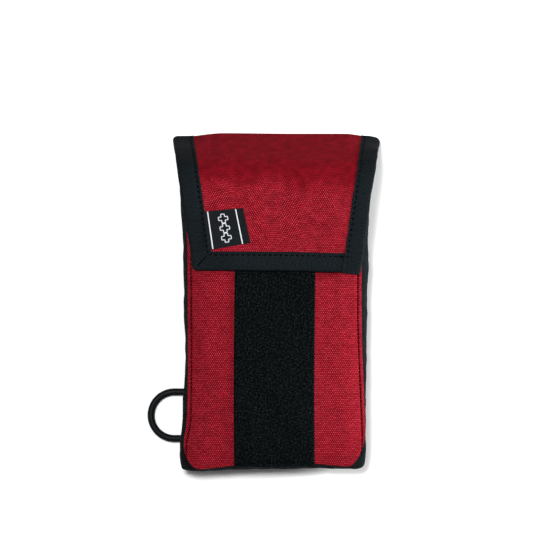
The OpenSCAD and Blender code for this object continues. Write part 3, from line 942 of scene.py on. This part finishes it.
def bottom_tape():
    run = np.linspace(0, 1, 150)
    pressed = 0.42 * (1 - ease(run, 0.004, 0.018))
    a, t = tape_points(BOTTOM_BIND, BOTTOM_BIND - 1.5, np.full(len(run), BOUND_T), -pressed, 100 * run)
    v = FLAP_LENGTH - a + 0.1 * ripple(100 * run[:, None], 0 * a, 9, 66)
    left = -flap_half(-1, FLAP_EDGE_Y + a) + a * (LEFT_BIND / BOTTOM_BIND) - 0.75
    right = flap_half(1, FLAP_EDGE_Y + a) - 0.9
    x = left + run[:, None] * (right - left)
    fold_blend(sweep("flap_binding_low", flap_point(x, v, t), pairs(girth(a, t), x), BINDING, "binding_tape",
                     replaces=["flap_binding_bottom"]))


def make_bindings():
    side_tape("fold_binding_left", -1, 0, SPLIT_AT, LEFT_BIND, ["crown_binding_left"])
    side_tape("fold_binding_right", 1, 0, SPLIT_AT, RIGHT_BIND, ["crown_binding_right"])
    side_tape("flap_binding_side_left", -1, SPLIT_AT, FLAP_LENGTH, LEFT_BIND, ["flap_binding_left"],
              mitre=BOTTOM_BIND / LEFT_BIND)
    side_tape("flap_binding_side_right", 1, SPLIT_AT, FLAP_LENGTH + 0.4, RIGHT_BIND,
              ["flap_binding_right"], over=OVERLAP)
    bottom_tape()


def make_flap_stitches():
    """The stitches along the tapes, over and under the flap, and the seam of the mitre."""
    def line(x, v, under=False):
        up = flap_way_up(x, v)
        if under:
            return flap_point(x, v, CLOTH_AT + BOUND_T + 0.42), -up
        lift = OVERLAP * ease(x, 38.5, 41.5) * ease(v, LOW_TAPE_V - 4, LOW_TAPE_V)
        return flap_point(x, v, CLOTH_AT - 0.32 - lift), up

    def side_lines(start, end, under=False):
        v = np.arange(start, end, 1.0)
        y = profile_at(v)[0][:, 0]
        return [line(side * (flap_half(side, y) - width + STITCH_IN), v, under)
                for side, width in ((-1, LEFT_BIND), (1, RIGHT_BIND))]

    stop = LOW_TAPE_V + STITCH_IN
    x = np.arange(-flap_half(-1, FLAP_EDGE_Y + 12) + LEFT_BIND - STITCH_IN,
                  flap_half(1, FLAP_EDGE_Y + 12) - RIGHT_BIND + STITCH_IN + 2.2, 1.0)
    front = side_lines(SPLIT_AT, stop) + [line(x, stop)] + side_lines(SPLIT_AT, stop, under=True)
    rear = side_lines(3, SPLIT_AT)
    fold_blend(make_stitches("flap_stitches", front, STITCH_PITCH, 2.6, 0.5))
    fold_blend(make_stitches("fold_stitches", rear, STITCH_PITCH, 2.6, 0.5))
    edge_in = np.linspace(0.5, BOTTOM_BIND - 0.3, 24)
    x = edge_in * LEFT_BIND / BOTTOM_BIND - flap_half(-1, FLAP_EDGE_Y + edge_in)
    mitre = flap_point(x, FLAP_LENGTH - edge_in, CLOTH_AT - 0.36)
    span = runs(mitre)[-1]
    fold_blend(make_stitches("mitre_seam", [along_up(mitre)], span, span, 0.42))


def make_hook_patch():
    """The hook tape under the flap, with rows of small hooks that face the loops."""
    low, high = box_mm("hook_patch")
    first = FLAP_LENGTH - (high[1] - FLAP_EDGE_Y)
    last = FLAP_LENGTH - (low[1] - FLAP_EDGE_Y)
    x, v = np.meshgrid(np.linspace(low[0], high[0], 34), np.linspace(first, last, 24))
    top = CLOTH_AT + CLOTH_T + LINING_T + 0.1
    base = top + HOOK_TAPE_T
    shell("hook_tape", flap_point(x, v, top), flap_point(x, v, base), pairs(x, v), HOOKS, "hook_tape",
          body="flap_face", replaces=["hook_patch"])
    bits = Bits()
    for i, hx in enumerate(np.arange(low[0] + 1, high[0] - 0.8, HOOK_PITCH)):
        lean = np.array([0, 1.0 if i % 2 else -1.0, 0])
        for hv in np.arange(first + 1 + (i % 2) * HOOK_PITCH / 2, last - 0.8, HOOK_PITCH):
            root = flap_point(hx, hv, base)
            down = -flap_way_up(hx, hv)
            rings = []
            for rise, out, wide in ((0, 0, 0.28), (0.5, 0.0, 0.2), (0.78, 0.18, 0.18), (0.72, 0.45, 0.1)):
                hub, beside = root + down * rise + lean * out, np.array([wide, 0, 0])
                rings.append([hub + beside, hub + lean * wide, hub - beside, hub - lean * wide])
            bits.add(rings, [(hx, hv)] * 16)
    bits.piece("hook_rows", HOOKS, "hook_tape", body="flap_face")


# ---------- label ----------

LABEL_SIDE = 24.2
LABEL_T = 0.6
# The label's corners from its sewn edge's upper end, clockwise: it is lifted and a little out of square
LABEL_CORNERS = np.array(((0.1, -0.4), (23.6, 1.8), (28.4, -20.0), (3.4, -24.2)))
LABEL_TUCK = 1.2
PLUS_REACH, PLUS_ARM = 2.9, 1.1


def label_point(a, b, t):
    """Where the label is: a across from its sewn edge, b down from its top, t above its underside."""
    u, w = a[..., None] / LABEL_SIDE, b[..., None] / LABEL_SIDE
    flat = mix(w, mix(u, LABEL_CORNERS[0], LABEL_CORNERS[1]), mix(u, LABEL_CORNERS[3], LABEL_CORNERS[2]))
    free = np.maximum(a, 0) / LABEL_SIDE
    lift = 0.9 * free ** 2.5 + 0.15 * np.sin(b / 5.0) * free - 0.12 * np.exp(-(a / 1.5) ** 2)
    corner = np.array(JOINTS["label_flip"]["pos_m"]) / MM
    return lifted(corner[:2] + flat, corner[2] - 0.75 + t + lift)


def thread_strip(bits, points, width):
    """A raised white strip along a line of (a, b) points on the label."""
    line = np.array(points, float)
    way = unit(np.gradient(line, axis=0))
    side = pairs(-way[:, 1], way[:, 0]) * width / 2
    rows = []
    for out, rise in ((-1, -0.05), (-0.7, 0.1), (0.7, 0.1), (1, -0.05)):
        rows.append(label_point(*(line + side * out).T, LABEL_T + rise))
    bits.add(np.stack(rows, 1), [(k, run) for run in runs(line) for k in (0, 0.2, 0.4, 0.6)])


def plus_outline(middle):
    """The closed outline of a plus sign round a place on the label."""
    corners = []
    for turn in ((1, 0, 0, 1), (0, -1, 1, 0), (-1, 0, 0, -1), (0, 1, -1, 0)):
        for x, y in ((PLUS_ARM, PLUS_ARM), (PLUS_ARM, PLUS_REACH), (-PLUS_ARM, PLUS_REACH)):
            corners.append((turn[0] * x + turn[1] * y, turn[2] * x + turn[3] * y))
    return np.array(corners + corners[:1]) + middle


def make_label():
    a, b = np.meshgrid(np.linspace(-LABEL_TUCK, LABEL_SIDE, 40), np.linspace(0, LABEL_SIDE, 40))
    shell("label_fold", label_point(a, b, LABEL_T), label_point(a, b, 0.0), pairs(a, b), LABEL, "label_weave",
          body="label", replaces=["woven_label"])
    bits = Bits()
    for where in (1.5, 19.4):
        thread_strip(bits, pairs(where, np.linspace(0.3, LABEL_SIDE - 0.3, 24)), 0.8)
    for k in range(3):
        outline = plus_outline((10.6, 5.6 + 6.3 * k))
        for first, second in zip(outline, outline[1:]):
            thread_strip(bits, [first, (first + second) / 2, second], 0.6)
    bits.piece("label_threads", WHITE_THREAD, "label_weave", body="label")


# ---------- ring tab and mouth tape ----------

# The webbing's inner radius round the ring's bar, and its thickness
WEB_R, WEB_T = 2.27, 0.62
# The mouth tape's section: how far to either side of the edge it is folded over, and how far beyond it
MOUTH_SECTION = ((-1.05, -6.5), (-1.25, -5.9), (-1.15, -0.6), (-0.6, 0.35), (0.0, 0.55), (0.6, 0.35),
                 (1.15, -0.6), (1.25, -5.9), (1.05, -6.5))


def make_ring_tab():
    """Webbing folded round the ring's bar, its two ends laid together into the back seam."""
    low, high = box_mm("ring_tab")
    bar = (np.array(JOINTS["ring_swing"]["pos_m"]) / MM)[[0, 2]]
    outer_ring, inner_ring = arc(bar, WEB_R + WEB_T, -75, 265, 44), arc(bar, WEB_R, -75, 265, 44)
    seam_x = high[0] + 1.5
    section = np.concatenate([
        [(seam_x, 1.5), (bar[0] + 3.4, 1.9)], outer_ring[3:],
        [(bar[0] + 1.6, 0.15), (seam_x, 0.2), (seam_x, 0.9), (bar[0] + 2.6, 0.95)], inner_ring[:2:-1],
        [(bar[0] + 2.7, 1.2), (seam_x, 0.95)]])
    y = np.linspace(low[1], high[1], 12)[:, None]
    points = np.stack(np.broadcast_arrays(section[:, 0], y, np.maximum(section[:, 1], 0.05)), -1)
    sweep("ring_webbing", points, pairs(y, runs(section)), WEBBING, "webbing", body="pouch",
          replaces=["ring_tab"])
    y = np.arange(low[1] + 1.5, high[1] - 1, 1.0)
    line = np.stack(np.broadcast_arrays(bar[0] + 3.5, y, 2.0), -1)
    make_stitches("webbing_stitches", [along_up(line)], 2.6, 1.9, 0.3, body="pouch")


def make_mouth_tape():
    """Tape folded over the mouth's edge: up the left gusset, across the front and down the right gusset."""
    rim = gusset_point(np.linspace(0.1, 0.97, 16))
    edge = pairs(np.linspace(FRONT[0][0] + 1.4, FRONT[-1][0] - 1.4, 40), MOUTH_Y)
    edge = lifted(edge, front_face(edge) - FRONT_T / 2)
    line = cut_corners(np.concatenate([rim[0], edge, rim[-1][::-1]]), 2)
    line = at_lengths(line, runs(line), np.arange(0, runs(line)[-1], 1.6))
    tilt = mix(ease(line[:, 2:], 27, 34), SLOPE, math.pi / 2)
    rise = np.hstack([0 * tilt, np.sin(tilt), np.cos(tilt)])
    side = unit(np.cross(np.gradient(line, axis=0), rise))
    points = np.stack([line + side * a + rise * b for a, b in MOUTH_SECTION], 1)
    points[..., 2] = np.maximum(points[..., 2], 0.1)
    uv = pairs(runs(np.array(MOUTH_SECTION)), runs(line)[:, None])
    sweep("mouth_tape", points, uv, BINDING, "binding_tape", body="pouch", replaces=["mouth_binding"])


# ---------- supplies ----------

# How far a folded sheet stays inside its place, and the packs' flat borders
EDGE_GAP = 1.0
BORDER_T, CRIMP_PITCH = 0.16, 0.9
PACK_INSET, PACK_FILL = 0.97, 0.4

def turned(points, middle, degrees):
    """Points turned about the upright through a place."""
    turn = math.radians(degrees)
    spin = np.array([[math.cos(turn), math.sin(turn)], [-math.sin(turn), math.cos(turn)]])
    return lifted((points[..., :2] - middle[:2]) @ spin + middle[:2], points[..., 2])


def wound_roll(name, node, along, inner_r, turns, fill, slack, material, slot):
    """A strip wound round an axis of the node's box, its turns a little slack and uneven at the ends."""
    low, high = box_mm(node)
    middle, size = (low + high) / 2, high - low
    across, up = [k for k in range(3) if k != along]
    width = size[along] - 1.6
    pitch = (min(size[across], size[up]) / 2 - inner_r) / (turns + 0.5)
    thick = fill * pitch
    angle = np.linspace(0, 2 * math.pi * turns, 44 * turns)[:, None]
    share = np.linspace(-0.5, 0.5, 15)[None, :]
    radius = inner_r + pitch * (0.5 + angle / (2 * math.pi))
    radius = radius - slack * (0.5 + 0.5 * ripple(angle * 6, share * 30, 14, 71)) * (angle / angle[-1])
    slip = 0.35 * ripple(angle * 3, 0 * angle, 17, 72)
    taper = 0.35 + 0.65 * ease(angle[-1] - angle, 0, 0.25)

    def surface(offset):
        points = np.zeros(radius.shape + (3,))
        points[..., along] = middle[along] + share * width + slip
        points[..., across] = middle[across] + (radius + offset) * np.cos(angle)
        points[..., up] = middle[up] + (radius + offset) * np.sin(angle)
        return points

    run = runs(surface(0)[:, 7])
    uv = pairs(share * width, run[:, None])
    made = shell(name, surface(thick * (taper - 0.5)), surface(-thick / 2), uv, material, slot, body="pouch",
                 replaces=[node])


def folded_stack(name, node, layers, fill, wrinkle, material, slot):
    """A sheet folded to and fro in the node's box, its folds not quite in line."""
    low, high = box_mm(node)
    rng = np.random.default_rng(75)
    pitch = (high[2] - low[2] - 2 * wrinkle) / layers
    line = []
    for k in range(layers):
        ends = np.array([low[1] + pitch, high[1] - pitch]) + rng.uniform(-0.35, 0.35, 2) * pitch
        start, end = ends if k % 2 == 0 else ends[::-1]
        z = low[2] + wrinkle + (k + 0.5) * pitch
        line += [(y, z) for y in np.linspace(start, end, 34)]
        if k + 1 < layers:
            half_turn = 0.5 * pitch
            way = math.copysign(half_turn, end - start)
            line += [(end + way * math.cos(turn), z + half_turn * (1 + math.sin(turn)))
                     for turn in np.linspace(-1.3, 1.3, 9)]
    line = cut_corners(np.array(line), 1)
    run = runs(line)
    line = at_lengths(line, run, np.linspace(0, run[-1], 42 * layers))
    way = unit(np.gradient(line, axis=0))
    run = runs(line)[:, None]
    edge = 0.6 * ripple(run * 0.35, 0 * run, 30, 76)
    x = low[0] + EDGE_GAP + edge + np.linspace(0, 1, 36) * (high[0] - low[0] - 2 * EDGE_GAP)

    def surface(offset):
        y = line[:, :1] - way[:, 1:] * offset + 0 * x
        z = line[:, 1:] + way[:, :1] * offset
        return np.stack([x, y, z + wrinkle * ripple(x, y, 19, 77)], -1)

    thick = fill * pitch
    made = shell(name, surface(thick / 2), surface(-thick / 2), pairs(x, run), material, slot, body="pouch",
                 replaces=[node])


def pack(name, node, low, high, seal, seed, material, slot):
    """A sealed pack: a flat crimped border round a soft creased middle."""
    size, middle = high - low, (low + high) / 2
    x, y = np.meshgrid(*[edge_steps(length, 0.45, seal + 1, 2.0) for length in size[:2]])
    from_side = np.minimum(np.minimum(x, size[0] - x), np.minimum(y, size[1] - y))
    bulge = ease(from_side, 0.8 * seal, seal + 0.12 * min(size[:2]))
    full = size[2] / 2 - 0.1
    half = BORDER_T + (full - BORDER_T) * bulge * (0.86 + 0.12 * ripple(x, y, 17, seed))
    crimp = min(0.1, 0.2 * full) * np.sin(2 * math.pi * from_side / CRIMP_PITCH) * (from_side < 0.8 * seal)
    crease = 0.25 * full * ripple(x, y, 9, seed + 1) * bulge * (1 - bulge) * 4
    sway = 0.25 * ripple(x, y, 30, seed + 2)
    turn = np.random.default_rng(seed).uniform(-1.2, 1.2)
    flat = middle[:2] + (pairs(low[0] + x + sway, low[1] + y - sway) - middle[:2]) * PACK_INSET

    def surface(height):
        z = np.clip(middle[2] + height, low[2] + 0.01, high[2] - 0.01)
        return turned(lifted(flat, z), middle, turn)

    made = shell(name, surface(half + crimp + crease), surface(crimp - half - 0.5 * crease), pairs(x, y),
                 material, slot, body="pouch", replaces=[node])


def make_packs(name, node, count, seal, material, slot):
    """The packs of one stack, each in its share of the node's height."""
    low, high = box_mm(node)
    step = (high[2] - low[2]) / count
    for k in range(count):
        base, top = np.array([*low[:2], low[2] + k * step]), np.array([*high[:2], low[2] + (k + 1) * step])
        pack(f"{name}_{k + 1}", node, base, top, seal, 80 + 7 * k, material, slot)


def make_supplies():
    core_r = np.ptp(box_mm("tape_core")[:, 0]) / 2
    wound_roll("gauze_winding", "gauze_roll", 0, 3.0, 11, 0.72, 0.5, GAUZE, "gauze")
    wound_roll("crepe_winding", "elastic_bandage", 0, 2.5, 9, 0.8, 0.3, CREPE, "crepe")
    wound_roll("tape_winding", "tape_roll", 2, core_r, 8, 0.9, 0.04, CLOTH_TAPE, "plaster_tape")
    folded_stack("foil_folds", "foil_blanket", 9, 0.82, 0.35, FOIL, "foil_film")
    folded_stack("sling_folds", "triangular_bandage", 5, 0.8, 0.3, GAUZE, "gauze")
    make_packs("glove_pack", "glove_packet", 1, 3.0, FILM, "clear_film")
    make_packs("dressing", "wound_dressings", 4, 5.0, SACHET, "sachet_paper")
    make_packs("plaster", "plaster_strips", 5, 2.5, SACHET, "sachet_paper")
    make_packs("wipe", "wipe_sachets", 3, 5.0, WIPE_FOIL, "foil_sachet")
    for node, material in (("tape_core", CORE), ("tweezers", STEEL), ("d_ring", RING)):
        mesh = frame["nodes"][node].data
        mesh.materials.clear()
        mesh.materials.append(material)


make_supplies()
make_gusset()
make_front()
make_back()
make_linings()
make_front_stitches()
make_loop_tape()
make_flap_cloth()
make_bindings()
make_flap_stitches()
make_hook_patch()
make_label()
make_ring_tab()
make_mouth_tape()


# ---------- stage ----------

FLOOR_REACH_M = 3.0
FLOOR_Z_M = -0.0001
PAPER = (0.97, 0.97, 0.97)
LIGHT_TARGET = (0, 0, 20)
WORLD_STRENGTH = 0.17


def make_floor():
    g = Graph("floor", uv=False)
    colour = g.scale(PAPER, g.spread(g.noise(0.004, 2), 0.985, 1.0))
    mesh = bpy.data.meshes.new("floor")
    square = ((-1, -1), (1, -1), (1, 1), (-1, 1))
    verts = [(x * FLOOR_REACH_M, y * FLOOR_REACH_M, FLOOR_Z_M) for x, y in square]
    mesh.from_pydata(verts, [], [(0, 1, 2, 3)])
    mesh.materials.append(g.finish(colour, g.noise(0.6, 3), 0.05, 0.1, 0.9, Specular_IOR_Level=0.1))
    floor = bpy.data.objects.new("floor", mesh)
    bpy.context.scene.collection.objects.link(floor)
    floor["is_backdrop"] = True


def add_light(name, place, size, power):
    data = bpy.data.lights.new(name, "AREA")
    data.energy = power
    data.size = size * MM
    light = bpy.data.objects.new(name, data)
    light.location = Vector(place) * MM
    light.rotation_mode = "QUATERNION"
    light.rotation_quaternion = (Vector(LIGHT_TARGET) - Vector(place)).to_track_quat("-Z", "Y")
    bpy.context.scene.collection.objects.link(light)


def make_lights():
    world = bpy.data.worlds.new("studio")
    world.use_nodes = True
    background = world.node_tree.nodes["Background"].inputs
    background["Color"].default_value = (1, 1, 1, 1)
    background["Strength"].default_value = WORLD_STRENGTH
    bpy.context.scene.world = world
    add_light("overhead", (-200, 200, 1480), 260, 22.4)
    add_light("right_side", (1255, 140, 350), 380, 31.5)
    bpy.context.scene.view_settings.view_transform = "Standard"


make_floor()
make_lights()


def corners(box):
    return [[round(value, 6) for value in corner] for corner in box]


{"cad": corners(CAD_BOX), "visual": corners(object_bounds())}
